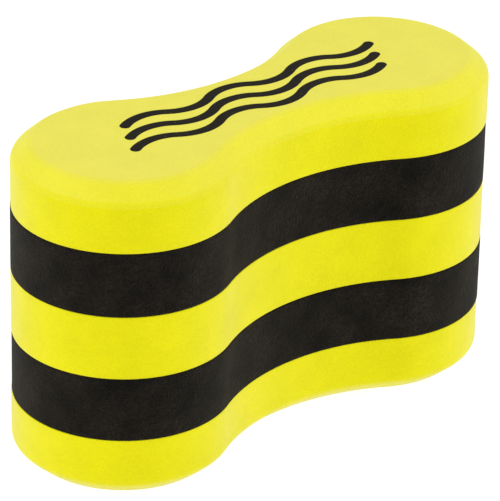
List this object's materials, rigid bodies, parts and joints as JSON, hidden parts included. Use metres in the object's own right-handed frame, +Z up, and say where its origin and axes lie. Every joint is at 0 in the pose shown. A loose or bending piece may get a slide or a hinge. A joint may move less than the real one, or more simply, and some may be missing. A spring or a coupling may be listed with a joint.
{
  "type": "pull buoy",
  "caption": "Foam pull buoy of stacked, bonded layers with round lobes at both ends and a hollow waist on each side, where a swimmer's thighs grip it.",
  "frame": {"origin": "centre of the flat bottom face, which the buoy stands on", "axes": "+X along the outline's long side from lobe to lobe, +Y across the waist, +Z up through the stack of layers"},
  "size_m": [0.23, 0.092, 0.1406],
  "materials": {
    "yellow_foam": "matte closed-cell EVA foam",
    "black_foam": "matte closed-cell EVA foam",
    "adhesive": "satin contact adhesive",
    "print_ink": "matte screen print"
  },
  "bodies": {
    "root": {"bottom_layer": "yellow_foam", "lower_stripe_layer": "black_foam", "middle_layer": "yellow_foam", "upper_stripe_layer": "black_foam", "top_layer": "yellow_foam", "bottom_bond_film": "adhesive", "lower_bond_film": "adhesive", "upper_bond_film": "adhesive", "top_bond_film": "adhesive", "printed_mark": "print_ink"}
  },
  "joints": []
}
